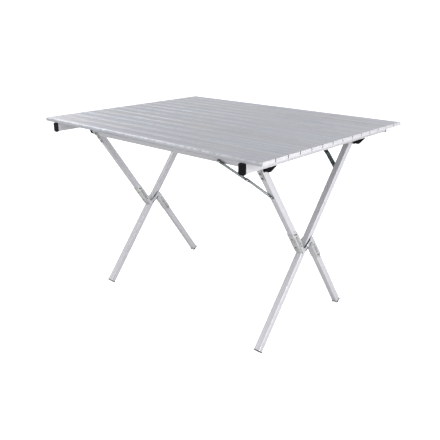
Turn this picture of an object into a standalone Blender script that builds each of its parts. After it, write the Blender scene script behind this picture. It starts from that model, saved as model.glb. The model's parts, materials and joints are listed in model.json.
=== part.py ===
"""Roll-top aluminium camping table with crossed folding legs.

X runs along the slats, Y across them (the front edge is at -Y) and Z is up.
Metres; the origin is on the floor below the middle of the top.
"""
import math

import bmesh
import bpy
from mathutils import Matrix, Vector

# ---------------------------------------------------------------- driving sizes
TOP_LENGTH = 1.020          # along the slats
TABLE_HEIGHT = 0.700        # floor to top surface
SLAT_COUNT = 14
SLAT_PITCH = 0.057
SLAT_THICKNESS = 0.012
SLAT_GAP = 0.0006           # between neighbouring slats
SLAT_WALL = 0.0014
SLAT_END_WALL = 0.0025
SLAT_RIBS = 2               # inner ribs under each slat
SLAT_CHAMFER = 0.0006
FRONT_RADIUS = 0.0045       # rounding of the two outermost long edges

END_RAIL_OFFSET = 0.4436    # middle of an end rail from the middle of the table
END_RAIL_WIDTH = 0.024
END_RAIL_HEIGHT = 0.030
END_RAIL_WALL = 0.0015
END_RAIL_SETBACK = 0.001    # tube end behind the edge of the top
CAP_LIP_WIDTH = 0.0005      # cap overhang past the tube, each side
CAP_LIP_BOTTOM = 0.001
CAP_THICKNESS = 0.004
CAP_ROUNDING = 0.006
PLUG_DEPTH = 0.016          # how far plugs and caps reach into their tubes

TUBE = 0.022                # legs and long rails, square
TUBE_WALL = 0.0013
TUBE_ROUNDING = 0.0016
LEG_PLANE = 0.3915          # middle of a leg frame from the middle of the table
CROSS_HEIGHT = 0.3185       # pivot of the crossed legs above the floor
RAIL_SPREAD = 0.256         # middle of a long rail from the middle of the table
ARM_SIDE_GAP = 0.0054       # room between the straight leg and either half leg
HALF_LEG_START = 0.012      # a half leg's inner end, from the pivot's level
RAIL_OVERHANG = 0.016       # long rail past the middle of the leg frame

FOOT_THICKNESS = 0.004
FOOT_LIP = 0.0008

SLEEVE_START = 0.005        # sleeve's inner end, from the pivot's level
SLEEVE_LENGTH = 0.104
SLEEVE_WALL = 0.0014
SLEEVE_POINT = 0.016        # length of the pointed end
SLEEVE_RIVETS = (0.047, 0.013)  # back from the sleeve's far end
CROSS_PLATE_THICKNESS = 0.002
CROSS_PLATE_WIDTH = 0.020
CROSS_PLATE_REACH = 0.038   # from the pivot along each half leg
CROSS_PLATE_WAIST = 0.014
CROSS_PLATE_SKEW = 0.002
CROSS_PLATE_RIVET = 0.030   # from the pivot along each half leg
PIN_RADIUS = 0.004
PIN_HEAD_RADIUS = 0.0075
PIN_HEAD_HEIGHT = 0.0022
RIVET_RADIUS = 0.0030
RIVET_HEIGHT = 0.0014

BRACKET_THICKNESS = 0.0016
BRACKET_LENGTH = 0.056
BRACKET_WIDTH = 0.019
BRACKET_ROUNDING = 0.003
BRACKET_RIVETS = (0.0, 0.020, 0.040)    # down the leg from the middle of the rail
BRACKET_ABOVE = 0.006       # bracket past the middle of the rail

BRACE_THICKNESS = 0.0020
BRACE_WIDTH = 0.015
BRACE_ON_RAIL = 0.151       # brace's rail pivot from the leg, along the rail
BRACE_ON_LEG = 0.124        # brace's leg pivot from the rail, along the leg
BRACE_MID_RAIL = 0.067      # middle pivot, measured the same two ways
BRACE_MID_LEG = 0.063
BRACE_PIN_RADIUS = 0.0025
BRACE_STUD_RADIUS = 0.0045  # spacer between a brace and its rail
BRACE_HEAD_RADIUS = 0.0042

CLIP_FLANGE = 0.003
CLIP_TONGUE_ANGLE = math.radians(18)
CLIP_TONGUE_DEPTH = 0.0035

CLEARANCE = 0.0003          # between pieces that touch
CUT_MARGIN = 0.001          # how far a cutter reaches past the solid it cuts

# ---------------------------------------------------------------- derived sizes
TOP_WIDTH = SLAT_COUNT * SLAT_PITCH - SLAT_GAP
SLAT_WIDTH = SLAT_PITCH - SLAT_GAP
END_RAIL_TOP = TABLE_HEIGHT - SLAT_THICKNESS - CLEARANCE
END_RAIL_BOTTOM = END_RAIL_TOP - END_RAIL_HEIGHT
ARM_OFFSET = TUBE + ARM_SIDE_GAP


def solveFrame():
    """Find the lean of both legs with each long rail just under the end rails."""
    height = END_RAIL_BOTTOM - TUBE
    for _ in range(30):
        lean = math.atan2(RAIL_SPREAD, height - CROSS_HEIGHT)
        arm = math.hypot(RAIL_SPREAD, height - CROSS_HEIGHT)
        halfLean = lean - math.asin(ARM_OFFSET / arm)
        reach = TUBE / 2 * max(math.cos(a) + math.sin(a) for a in (lean, halfLean))
        height = END_RAIL_BOTTOM - CLEARANCE - reach
    return lean, halfLean, height, reach


LEG_LEAN, HALF_LEAN, RAIL_HEIGHT, RAIL_REACH = solveFrame()
CROSS = Vector((0.0, 0.0, CROSS_HEIGHT))


# ---------------------------------------------------------------- materials
def makeMaterial(name, colour, metallic, roughness):
    material = bpy.data.materials.new(name)
    material.use_nodes = True
    shader = material.node_tree.nodes["Principled BSDF"]
    shader.inputs["Base Color"].default_value = (*colour, 1.0)
    shader.inputs["Metallic"].default_value = metallic
    shader.inputs["Roughness"].default_value = roughness
    return material


# ---------------------------------------------------------------- mesh helpers
def newObject(name, mesh, material):
    mesh.materials.append(material)
    obj = bpy.data.objects.new(name, mesh)
    bpy.context.scene.collection.objects.link(obj)
    return obj


def prism(name, outline, length, material, holes=()):
    """Extrude a closed 2-D outline (with optional holes) along local +Z."""
    curve = bpy.data.curves.new(name + "_outline", "CURVE")
    curve.dimensions = "2D"
    curve.fill_mode = "BOTH"
    curve.extrude = length / 2
    for loop in (outline, *holes):
        spline = curve.splines.new("POLY")
        spline.points.add(len(loop) - 1)
        for point, (u, v) in zip(spline.points, loop):
            point.co = (u, v, 0.0, 1.0)
        spline.use_cyclic_u = True
    helper = bpy.data.objects.new(name + "_helper", curve)
    mesh = bpy.data.meshes.new_from_object(helper)
    bpy.data.objects.remove(helper)
    bpy.data.curves.remove(curve)
    solid = bmesh.new()
    solid.from_mesh(mesh)
    bmesh.ops.remove_doubles(solid, verts=solid.verts, dist=1e-6)
    bmesh.ops.translate(solid, verts=solid.verts, vec=(0.0, 0.0, length / 2))
    bmesh.ops.recalc_face_normals(solid, faces=solid.faces)
    solid.to_mesh(mesh)
    solid.free()
    mesh.name = name
    mesh.materials.clear()
    return newObject(name, mesh, material)


def rectangle(width, height, rounding=0.0, steps=4, middle=(0.0, 0.0)):
    """Outline of a rectangle with rounded corners, counter-clockwise."""
    cu, cv = middle
    if rounding <= 0.0:
        corners = ((1, 1), (-1, 1), (-1, -1), (1, -1))
        return [(cu + su * width / 2, cv + sv * height / 2) for su, sv in corners]
    points = []
    for quarter, (su, sv) in enumerate(((1, 1), (-1, 1), (-1, -1), (1, -1))):
        for step in range(steps + 1):
            angle = math.pi / 2 * (quarter + step / steps)
            u = cu + su * (width / 2 - rounding) + rounding * math.cos(angle)
            v = cv + sv * (height / 2 - rounding) + rounding * math.sin(angle)
            points.append((u, v))
    return points


def circle(radius, steps=16, middle=(0.0, 0.0)):
    turns = [2 * math.pi * step / steps for step in range(steps)]
    return [(middle[0] + radius * math.cos(a), middle[1] + radius * math.sin(a)) for a in turns]


def place(obj, origin, xAxis, yAxis, zAxis):
    """Move mesh points so that its local axes point along the given directions."""
    matrix = Matrix((xAxis, yAxis, zAxis)).transposed().to_4x4()
    matrix.translation = origin
    obj.data.transform(matrix)
    if matrix.to_3x3().determinant() < 0.0:
        obj.data.flip_normals()
    return obj


def combine(obj, others, operation):
    """Apply a boolean with each of the other objects, then remove them."""
    for other in others:
        modifier = obj.modifiers.new("cut", "BOOLEAN")
        modifier.solver = "EXACT"
        modifier.operation = operation
        modifier.object = other
        bpy.context.view_layer.update()
        evaluated = obj.evaluated_get(bpy.context.evaluated_depsgraph_get())
        mesh = bpy.data.meshes.new_from_object(evaluated)
        obj.modifiers.clear()
        old = obj.data
        obj.data = mesh
        bpy.data.meshes.remove(old)
        bpy.data.objects.remove(other)
    solid = bmesh.new()
    solid.from_mesh(obj.data)
    bmesh.ops.remove_doubles(solid, verts=solid.verts, dist=1e-6)
    bmesh.ops.dissolve_limit(
        solid, angle_limit=math.radians(0.05), verts=solid.verts, edges=solid.edges
    )
    solid.to_mesh(obj.data)
    solid.free()
    return obj


def setOrigin(obj, point):
    """Put the object's origin on a joint axis without moving its surface."""
    obj.data.transform(Matrix.Translation(-Vector(point)))
    obj.location = point
    return obj


def shadeRound(obj, degrees=35):
    for polygon in obj.data.polygons:
        polygon.use_smooth = True
    obj.data.set_sharp_from_angle(angle=math.radians(degrees))
    return obj


X = Vector((1.0, 0.0, 0.0))
Y = Vector((0.0, 1.0, 0.0))
Z = Vector((0.0, 0.0, 1.0))


class Lean:
    """Directions of one leaning member: up along it, and its lower outside face."""

    def __init__(self, side, lean):
        self.side = side
        self.lean = lean
        self.up = Vector((0.0, side * math.sin(lean), math.cos(lean)))
        self.out = Vector((0.0, side * math.cos(lean), -math.sin(lean)))

    def point(self, x, along, outward, start=CROSS):
        return Vector(start) + X * x + self.up * along + self.out * outward


FRONT = Lean(-1, HALF_LEAN)     # both halves of the split legs, and the front rail
BACK = Lean(1, LEG_LEAN)        # the straight legs and the back rail
RAIL_MIDDLE = {
    "front": Vector((0.0, -RAIL_SPREAD, RAIL_HEIGHT)),
    "back": Vector((0.0, RAIL_SPREAD, RAIL_HEIGHT)),
}
SIDES = (("left", -1), ("right", 1))


# ---------------------------------------------------------------- table top
def buildSlat(index, material):
    """One slat: an open-bottomed channel with end walls and inner ribs."""
    middle = -TOP_WIDTH / 2 + SLAT_WIDTH / 2 + index * SLAT_PITCH
    half = SLAT_WIDTH / 2
    top = TABLE_HEIGHT
    bottom = TABLE_HEIGHT - SLAT_THICKNESS
    first = index == 0
    last = index == SLAT_COUNT - 1

    def corner(side, rounded):
        edge = side * half
        if not rounded:
            return [(edge, top - SLAT_CHAMFER), (edge - side * SLAT_CHAMFER, top)]
        arc = []
        for step in range(7):
            angle = math.pi / 2 * step / 6
            arc.append((
                edge - side * FRONT_RADIUS * (1 - math.cos(angle)),
                top - FRONT_RADIUS * (1 - math.sin(angle)),
            ))
        return arc

    outline = [(-half, bottom), (half, bottom)]
    outline += corner(1, last)
    outline += list(reversed(corner(-1, first)))
    name = f"slat_{index + 1:02d}"
    slat = prism(name, outline, TOP_LENGTH, material)
    place(slat, (-TOP_LENGTH / 2, middle, 0.0), Y, Z, X)
    bays = SLAT_RIBS + 1
    frontWall = FRONT_RADIUS if first else SLAT_WALL
    backWall = FRONT_RADIUS if last else SLAT_WALL
    free = SLAT_WIDTH - frontWall - backWall - SLAT_RIBS * SLAT_WALL
    bayWidth = free / bays
    pockets = []
    for bay in range(bays):
        start = middle - half + frontWall + bay * (bayWidth + SLAT_WALL)
        pocket = prism(
            f"{name}_pocket_{bay}",
            rectangle(bayWidth, SLAT_THICKNESS),
            TOP_LENGTH - 2 * SLAT_END_WALL,
            material,
        )
        centre = (
            -TOP_LENGTH / 2 + SLAT_END_WALL,
            start + bayWidth / 2,
            bottom - SLAT_WALL + SLAT_THICKNESS / 2,
        )
        place(pocket, centre, Y, Z, X)
        pockets.append(pocket)
    combine(slat, pockets, "DIFFERENCE")
    hinge = (0.0, middle + SLAT_PITCH / 2, TABLE_HEIGHT)
    return shadeRound(setOrigin(slat, hinge if not last else (0.0, middle, bottom)))


def buildEndRail(name, side, material):
    outer = rectangle(END_RAIL_WIDTH, END_RAIL_HEIGHT, TUBE_ROUNDING)
    inner = rectangle(
        END_RAIL_WIDTH - 2 * END_RAIL_WALL,
        END_RAIL_HEIGHT - 2 * END_RAIL_WALL,
        TUBE_ROUNDING / 2,
    )
    length = TOP_WIDTH - 2 * END_RAIL_SETBACK
    rail = prism(f"end_rail_{name}", outer, length, material, holes=(inner,))
    middle = (END_RAIL_TOP + END_RAIL_BOTTOM) / 2
    place(rail, (side * END_RAIL_OFFSET, -length / 2, middle), X, Z, Y)
    return shadeRound(rail)


def buildEndCap(name, side, face, material):
    """A plastic cap with its plug; face is -1 at the front and 1 at the back."""
    edge = face * (TOP_WIDTH / 2 - END_RAIL_SETBACK)
    width = END_RAIL_WIDTH + 2 * CAP_LIP_WIDTH
    inside = face * (TOP_WIDTH / 2 + CLEARANCE)
    bottom = END_RAIL_BOTTOM - CAP_LIP_BOTTOM
    top = END_RAIL_TOP
    plate = prism(
        f"end_cap_{name}",
        rectangle(width, top - bottom, CAP_ROUNDING, steps=6),
        CAP_THICKNESS,
        material,
    )
    place(plate, (side * END_RAIL_OFFSET, inside, (top + bottom) / 2), X, Z, Y * face)
    plugWidth = END_RAIL_WIDTH - 2 * END_RAIL_WALL - 2 * CLEARANCE
    plugHeight = END_RAIL_HEIGHT - 2 * END_RAIL_WALL - 2 * CLEARANCE
    plug = prism(
        f"end_cap_{name}_plug",
        rectangle(plugWidth, plugHeight, TUBE_ROUNDING / 2),
        PLUG_DEPTH + CAP_THICKNESS / 2 + END_RAIL_SETBACK,
        material,
    )
    start = inside + face * CAP_THICKNESS / 2
    middle = (END_RAIL_TOP + END_RAIL_BOTTOM) / 2
    place(plug, (side * END_RAIL_OFFSET, start, middle), X, Z, Y * -face)
    combine(plate, [plug], "UNION")
    return shadeRound(plate)


# ---------------------------------------------------------------- tubes of the frame
def squareTube(name, start, end, across, material):
    """A hollow square tube between two points with one face square to across."""
    axis = (Vector(end) - Vector(start))
    outer = rectangle(TUBE, TUBE, TUBE_ROUNDING)
    inside = TUBE - 2 * TUBE_WALL
    inner = rectangle(inside, inside, TUBE_ROUNDING / 2)
    tube = prism(name, outer, axis.length, material, holes=(inner,))
    direction = axis.normalized()
    side = direction.cross(across).normalized()
    place(tube, start, across.normalized(), side, direction)
    return shadeRound(tube)


def buildLongRail(name, lean, material):
    half = LEG_PLANE + RAIL_OVERHANG
    middle = RAIL_MIDDLE[name]
    rail = squareTube(f"long_rail_{name}", middle - X * half, middle + X * half, lean.out, material)
    return setOrigin(rail, middle)


def buildFootPlug(name, centre, lean, material):
    """A plastic plug in a leg's open end; centre is the end of the tube."""
    plate = prism(
        f"foot_{name}",
        rectangle(TUBE + 2 * FOOT_LIP, TUBE + 2 * FOOT_LIP, TUBE_ROUNDING),
        FOOT_THICKNESS,
        material,
    )
    place(plate, centre - lean.up * CLEARANCE, X, lean.up.cross(X), -lean.up)
    inside = TUBE - 2 * TUBE_WALL - 2 * CLEARANCE
    plug = prism(
        f"foot_{name}_plug",
        rectangle(inside, inside, TUBE_ROUNDING / 2),
        PLUG_DEPTH + FOOT_THICKNESS / 2,
        material,
    )
    start = centre - lean.up * (CLEARANCE + FOOT_THICKNESS / 2)
    place(plug, start, X, lean.up.cross(X) * -1.0, lean.up)
    combine(plate, [plug], "UNION")
    return shadeRound(plate)


def tubeEndDistance(lean, offset):
    """Distance from the pivot's level down to the tube's end, for feet on the floor.

    offset is how far the leg's middle line lies outward of the pivot.
    """
    below = CLEARANCE + FOOT_THICKNESS
    corner = (TUBE / 2 + FOOT_LIP) * math.sin(lean.lean) + below * math.cos(lean.lean)
    height = CROSS_HEIGHT - offset * math.sin(lean.lean)
    return (height - corner) / math.cos(lean.lean)


def pinHole(name, point, radius, length, axis, material):
    """A cylinder centred on a point, for holes, pins and rivets."""
    pin = prism(name, circle(radius), length, material)
    across = axis.orthogonal().normalized()
    start = Vector(point) - axis * length / 2
    return place(pin, start, across, axis.cross(across), axis)


def buildStraightLeg(name, side, material):
    """The undivided leg of a pair, from the back rail to the front foot."""
    x = side * LEG_PLANE
    arm = math.sqrt((RAIL_MIDDLE["back"] - CROSS).length_squared)
    top = BACK.point(x, arm - TUBE / 2 - CLEARANCE, 0.0)
    down = tubeEndDistance(BACK, 0.0)
    end = BACK.point(x, -down, 0.0)
    leg = squareTube(f"leg_straight_{name}", end, top, BACK.out, material)
    hole = pinHole("hole", CROSS + X * x, PIN_RADIUS + CLEARANCE, 2 * TUBE, X, material)
    combine(leg, [hole], "DIFFERENCE")
    foot = buildFootPlug(f"front_{name}", end, BACK, MATERIALS["foot_plastic"])
    return shadeRound(setOrigin(leg, CROSS + X * x)), foot


def buildSplitLeg(name, side, material):
    """The two half legs of a pair, set to either side of the straight leg."""
    x = side * LEG_PLANE
    arm = math.sqrt((RAIL_MIDDLE["front"] - CROSS).length_squared - ARM_OFFSET**2)
    inner = FRONT.point(x, HALF_LEG_START, ARM_OFFSET)
    top = FRONT.point(x, arm - TUBE / 2 - CLEARANCE, ARM_OFFSET)
    upper = squareTube(f"leg_upper_{name}", inner, top, FRONT.out, material)
    down = tubeEndDistance(FRONT, -ARM_OFFSET)
    end = FRONT.point(x, -down, -ARM_OFFSET)
    inner = FRONT.point(x, -HALF_LEG_START, -ARM_OFFSET)
    lower = squareTube(f"leg_lower_{name}", end, inner, FRONT.out, material)
    foot = buildFootPlug(f"back_{name}", end, FRONT, MATERIALS["foot_plastic"])
    return upper, lower, foot


def buildSleeve(name, side, half, material):
    """Channel wrapped round a half leg; half is 1 for the upper one, -1 for the lower."""
    x = side * LEG_PLANE
    flange = TUBE / 2 + CLEARANCE
    web = ARM_OFFSET + flange
    outer = flange + SLEEVE_WALL
    edge = ARM_OFFSET - TUBE / 2
    outline = [
        (-outer, edge), (-flange, edge), (-flange, web), (flange, web),
        (flange, edge), (outer, edge), (outer, web + SLEEVE_WALL), (-outer, web + SLEEVE_WALL),
    ]
    sleeve = prism(f"sleeve_{name}", outline, SLEEVE_LENGTH, material)
    start = FRONT.point(x, half * SLEEVE_START, 0.0)
    place(sleeve, start, X, FRONT.out * half, FRONT.up * half)
    far = SLEEVE_START + SLEEVE_LENGTH
    wedge = [(edge - SLEEVE_WALL, far + CUT_MARGIN), (edge - SLEEVE_WALL, far - SLEEVE_POINT),
             (edge, far - SLEEVE_POINT), (web - SLEEVE_WALL, far), (web - SLEEVE_WALL, far + CUT_MARGIN)]
    cutter = prism("wedge", wedge, 3 * TUBE, material)
    corner = FRONT.point(x, 0.0, 0.0) - X * 1.5 * TUBE
    place(cutter, corner, FRONT.out * half, FRONT.up * half, X)
    combine(sleeve, [cutter], "DIFFERENCE")
    rivets = []
    for back in SLEEVE_RIVETS:
        centre = FRONT.point(x, half * (far - back), half * (web + SLEEVE_WALL))
        rivets.append(pinHole("rivet", centre, RIVET_RADIUS, 2 * RIVET_HEIGHT, FRONT.out, material))
    combine(sleeve, rivets, "UNION")
    hollow = prism("hollow", rectangle(2 * flange, web - edge + 2 * CUT_MARGIN), SLEEVE_LENGTH, material)
    centre = FRONT.point(x, half * SLEEVE_START, half * ((edge + web) / 2 - CUT_MARGIN))
    place(hollow, centre, X, FRONT.out * half, FRONT.up * half)
    combine(sleeve, [hollow], "DIFFERENCE")
    return shadeRound(sleeve)


def buildCrossPlate(name, side, face, material):
    """Z-shaped plate that joins both half legs across one side of the straight leg."""
    half = CROSS_PLATE_WIDTH / 2
    reach = CROSS_PLATE_REACH
    outline = [
        (ARM_OFFSET + half, reach), (ARM_OFFSET - half, reach),
        (ARM_OFFSET - half, CROSS_PLATE_WAIST), (-ARM_OFFSET - half, -CROSS_PLATE_SKEW),
        (-ARM_OFFSET - half, -reach), (-ARM_OFFSET + half, -reach),
        (-ARM_OFFSET + half, -CROSS_PLATE_WAIST), (ARM_OFFSET + half, CROSS_PLATE_SKEW),
    ]
    plate = prism(f"cross_plate_{name}", outline, CROSS_PLATE_THICKNESS, material)
    lift = TUBE / 2 + SLEEVE_WALL + 2 * CLEARANCE
    start = CROSS + X * (side * LEG_PLANE + face * lift)
    place(plate, start, FRONT.out, FRONT.up, X * face)
    hole = pinHole("hole", start, PIN_RADIUS + CLEARANCE, 4 * CROSS_PLATE_THICKNESS, X, material)
    combine(plate, [hole], "DIFFERENCE")
    rivets = []
    for sign in (1, -1):
        centre = FRONT.point(0.0, sign * CROSS_PLATE_RIVET, sign * ARM_OFFSET, start)
        centre = centre + X * face * CROSS_PLATE_THICKNESS
        rivets.append(pinHole("rivet", centre, RIVET_RADIUS, 2 * RIVET_HEIGHT, X, material))
    combine(plate, rivets, "UNION")
    return shadeRound(plate)


def buildPin(name, side, material):
    """Pivot pin with a head on both cross plates."""
    centre = CROSS + X * side * LEG_PLANE
    inside = TUBE / 2 + SLEEVE_WALL + 3 * CLEARANCE + CROSS_PLATE_THICKNESS
    pin = pinHole(f"pivot_pin_{name}", centre, PIN_RADIUS, 2 * inside + PIN_HEAD_HEIGHT, X, material)
    heads = []
    for face in (-1, 1):
        middle = centre + X * face * (inside + PIN_HEAD_HEIGHT / 2)
        heads.append(pinHole("head", middle, PIN_HEAD_RADIUS, PIN_HEAD_HEIGHT, X, material))
    combine(pin, heads, "UNION")
    return shadeRound(setOrigin(pin, centre))


def buildBracket(name, lean, middle, x, material):
    """Riveted strap over the rail and the leg top, on their lower outside face."""
    outline = rectangle(BRACKET_WIDTH, BRACKET_LENGTH, BRACKET_ROUNDING)
    strap = prism(f"leg_bracket_{name}", outline, BRACKET_THICKNESS, material)
    along = BRACKET_ABOVE - BRACKET_LENGTH / 2
    start = lean.point(x, along, TUBE / 2 + CLEARANCE, middle)
    place(strap, start, X, lean.up, lean.out)
    rivets = []
    for down in BRACKET_RIVETS:
        centre = lean.point(x, -down, TUBE / 2 + CLEARANCE + BRACKET_THICKNESS, middle)
        rivets.append(pinHole("rivet", centre, RIVET_RADIUS, 2 * RIVET_HEIGHT, lean.out, material))
    # rivet tails stay inside the strap
    combine(strap, rivets, "UNION")
    tails = prism("tails", rectangle(2 * BRACKET_WIDTH, 2 * BRACKET_LENGTH), TUBE / 2, material)
    place(tails, lean.point(x, along, CLEARANCE, middle), X, lean.up, lean.out)
    combine(strap, [tails], "DIFFERENCE")
    return shadeRound(strap)


def buildRailPlug(name, lean, middle, side, material):
    """Plug in a long rail's end, with the tongue the end rail rests on."""
    x = side * (LEG_PLANE + RAIL_OVERHANG)
    plug = prism(f"rail_plug_{name}", rectangle(TUBE, TUBE, TUBE_ROUNDING), CLIP_FLANGE, material)
    start = middle + X * (x + side * CLEARANCE)
    place(plug, start, lean.out, lean.up, X * side)
    inside = TUBE - 2 * TUBE_WALL - 2 * CLEARANCE
    stem = prism("stem", rectangle(inside, inside, TUBE_ROUNDING / 2), PLUG_DEPTH, material)
    place(stem, start + X * side * CLIP_FLANGE / 2, lean.out, lean.up, X * -side)
    # the tongue starts inside the plate, so that the two join over a clear overlap
    root = start + X * side * CLIP_FLANGE / 2
    reach = END_RAIL_OFFSET + END_RAIL_WIDTH / 2 - CLEARANCE - abs(root.x)
    arc = []
    steps = 6
    outer = RAIL_REACH
    for step in range(steps + 1):
        angle = -CLIP_TONGUE_ANGLE + 2 * CLIP_TONGUE_ANGLE * step / steps
        arc.append((outer * math.sin(angle), outer * math.cos(angle)))
    inner = outer - CLIP_TONGUE_DEPTH
    low = [(inner * math.sin(a), inner * math.cos(a)) for a in (CLIP_TONGUE_ANGLE, 0.0, -CLIP_TONGUE_ANGLE)]
    tongue = prism("tongue", arc + low, reach, material)
    place(tongue, root, Y, Z, X * side)
    combine(plug, [stem, tongue], "UNION")
    return shadeRound(setOrigin(plug, middle + X * x))


def buildBrace(name, lean, middle, materialA, materialB):
    """Two-link brace between the leg and the rail, flat on their outside faces."""
    x = LEG_PLANE
    inner = TUBE / 2 + CLEARANCE
    outer = inner + BRACE_THICKNESS + CLEARANCE

    def spot(fromLeg, down, outward):
        return lean.point(x - fromLeg, -down, outward, middle)

    legPivot = (0.0, BRACE_ON_LEG)
    midPivot = (BRACE_MID_RAIL, BRACE_MID_LEG)
    railPivot = (BRACE_ON_RAIL, 0.0)

    def strip(label, first, second, level, material):
        start = spot(*first, level)
        end = spot(*second, level)
        length = (end - start).length
        outline = rectangle(length + BRACE_WIDTH, BRACE_WIDTH, BRACE_WIDTH * 0.49, steps=6)
        link = prism(f"brace_{name}_{label}", outline, BRACE_THICKNESS, material)
        along = (end - start).normalized()
        place(link, (start + end) / 2, along, lean.out.cross(along), lean.out)
        return link

    def stud(pivot, low, high, radius, material):
        centre = spot(*pivot, (low + high) / 2)
        return pinHole("stud", centre, radius, high - low, lean.out, material)

    lower = strip("lower", legPivot, midPivot, inner, materialA)
    upper = strip("upper", midPivot, railPivot, outer, materialB)
    hole = stud(midPivot, outer - CLEARANCE, outer + 2 * BRACE_THICKNESS, BRACE_PIN_RADIUS + CLEARANCE,
                materialB)
    combine(upper, [hole], "DIFFERENCE")
    top = outer + BRACE_THICKNESS
    combine(upper, [
        stud(railPivot, inner, outer + BRACE_THICKNESS / 2, BRACE_STUD_RADIUS, materialB),
        stud(railPivot, top - BRACE_THICKNESS / 2, top + RIVET_HEIGHT, RIVET_RADIUS, materialB),
    ], "UNION")
    combine(lower, [
        stud(midPivot, inner + BRACE_THICKNESS / 2, top + CLEARANCE + RIVET_HEIGHT / 2,
             BRACE_PIN_RADIUS, materialA),
        stud(midPivot, top + CLEARANCE, top + CLEARANCE + RIVET_HEIGHT, BRACE_HEAD_RADIUS, materialA),
        stud(legPivot, inner + BRACE_THICKNESS / 2, inner + BRACE_THICKNESS + RIVET_HEIGHT,
             RIVET_RADIUS, materialA),
    ], "UNION")
    return shadeRound(lower), shadeRound(upper)


# ---------------------------------------------------------------- assembly
for existing in list(bpy.data.objects):
    bpy.data.objects.remove(existing)

MATERIALS = {
    "slat_aluminium": makeMaterial("slat_aluminium", (0.62, 0.64, 0.67), 0.9, 0.42),
    "tube_aluminium": makeMaterial("tube_aluminium", (0.74, 0.75, 0.78), 0.9, 0.36),
    "zinc_steel": makeMaterial("zinc_steel", (0.55, 0.57, 0.55), 1.0, 0.38),
    "dark_steel": makeMaterial("dark_steel", (0.20, 0.24, 0.25), 1.0, 0.42),
    "black_plastic": makeMaterial("black_plastic", (0.012, 0.012, 0.014), 0.0, 0.45),
    "foot_plastic": makeMaterial("foot_plastic", (0.015, 0.015, 0.017), 0.0, 0.6),
}

for slatIndex in range(SLAT_COUNT):
    buildSlat(slatIndex, MATERIALS["slat_aluminium"])

for sideName, sideSign in SIDES:
    buildEndRail(sideName, sideSign, MATERIALS["tube_aluminium"])
    for faceName, faceSign in (("front", -1), ("back", 1)):
        buildEndCap(f"{faceName}_{sideName}", sideSign, faceSign, MATERIALS["black_plastic"])

for railName, railLean in (("front", FRONT), ("back", BACK)):
    buildLongRail(railName, railLean, MATERIALS["tube_aluminium"])
    for sideName, sideSign in SIDES:
        cornerName = f"{railName}_{sideName}"
        buildRailPlug(
            cornerName, railLean, RAIL_MIDDLE[railName], sideSign, MATERIALS["black_plastic"]
        )
        buildBracket(
            cornerName, railLean, RAIL_MIDDLE[railName], sideSign * LEG_PLANE, MATERIALS["zinc_steel"]
        )
    buildBrace(
        railName, railLean, RAIL_MIDDLE[railName], MATERIALS["zinc_steel"], MATERIALS["dark_steel"]
    )

for sideName, sideSign in SIDES:
    buildStraightLeg(sideName, sideSign, MATERIALS["tube_aluminium"])
    buildSplitLeg(sideName, sideSign, MATERIALS["tube_aluminium"])
    for halfName, halfSign in (("upper", 1), ("lower", -1)):
        buildSleeve(f"{halfName}_{sideName}", sideSign, halfSign, MATERIALS["zinc_steel"])
    for faceName, faceSign in (("outer", sideSign), ("inner", -sideSign)):
        buildCrossPlate(f"{faceName}_{sideName}", sideSign, faceSign, MATERIALS["zinc_steel"])
    buildPin(sideName, sideSign, MATERIALS["zinc_steel"])
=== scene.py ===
import json
import math

import bmesh
import bpy
from mathutils import Matrix, Vector


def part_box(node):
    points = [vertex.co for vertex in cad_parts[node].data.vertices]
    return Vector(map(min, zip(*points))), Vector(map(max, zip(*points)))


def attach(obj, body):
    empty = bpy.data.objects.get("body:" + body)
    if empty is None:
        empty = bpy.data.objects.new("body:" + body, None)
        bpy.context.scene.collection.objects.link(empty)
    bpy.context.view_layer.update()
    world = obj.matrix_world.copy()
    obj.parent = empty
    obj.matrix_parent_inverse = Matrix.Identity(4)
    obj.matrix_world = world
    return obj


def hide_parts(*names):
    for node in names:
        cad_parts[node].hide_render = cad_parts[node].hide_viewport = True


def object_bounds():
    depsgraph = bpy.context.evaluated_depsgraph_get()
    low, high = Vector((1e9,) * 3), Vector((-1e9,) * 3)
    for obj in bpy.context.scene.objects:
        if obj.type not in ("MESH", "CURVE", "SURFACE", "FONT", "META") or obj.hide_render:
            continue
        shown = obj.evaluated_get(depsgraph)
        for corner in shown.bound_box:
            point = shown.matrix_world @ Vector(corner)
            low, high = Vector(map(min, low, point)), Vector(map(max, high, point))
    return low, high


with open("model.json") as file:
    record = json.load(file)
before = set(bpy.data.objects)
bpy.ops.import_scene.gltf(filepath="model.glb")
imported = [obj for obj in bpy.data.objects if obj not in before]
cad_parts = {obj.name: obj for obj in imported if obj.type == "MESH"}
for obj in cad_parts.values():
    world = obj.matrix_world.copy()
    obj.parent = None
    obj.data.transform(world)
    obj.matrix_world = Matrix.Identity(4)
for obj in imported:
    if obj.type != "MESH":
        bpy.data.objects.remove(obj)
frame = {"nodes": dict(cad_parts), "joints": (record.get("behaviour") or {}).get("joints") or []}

cadLow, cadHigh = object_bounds()
nodes = frame["nodes"]
jointPlace = {joint["name"]: joint.get("pos_m") for joint in frame["joints"]}
xAxis = Vector((1, 0, 0))
yAxis = Vector((0, 1, 0))
zAxis = Vector((0, 0, 1))


# how squarely a face or an edge points along an axis to be picked
square = 0.99


# selecting, as by hand
def clearSelection():
    if bpy.context.object and bpy.context.object.mode != "OBJECT":
        bpy.ops.object.mode_set(mode="OBJECT")
    bpy.ops.object.select_all(action="DESELECT")


def choose(piece):
    clearSelection()
    piece.select_set(True)
    bpy.context.view_layer.objects.active = piece


def editMode(piece, kind):
    choose(piece)
    bpy.ops.object.mode_set(mode="EDIT")
    bpy.ops.mesh.select_mode(type=kind)
    bpy.ops.mesh.select_all(action="DESELECT")
    return bmesh.from_edit_mesh(piece.data)


def pickFaces(piece, wanted):
    work = editMode(piece, "FACE")
    for face in work.faces:
        if wanted(face.calc_center_median(), face.normal):
            face.select_set(True)
    bmesh.update_edit_mesh(piece.data)


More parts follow.
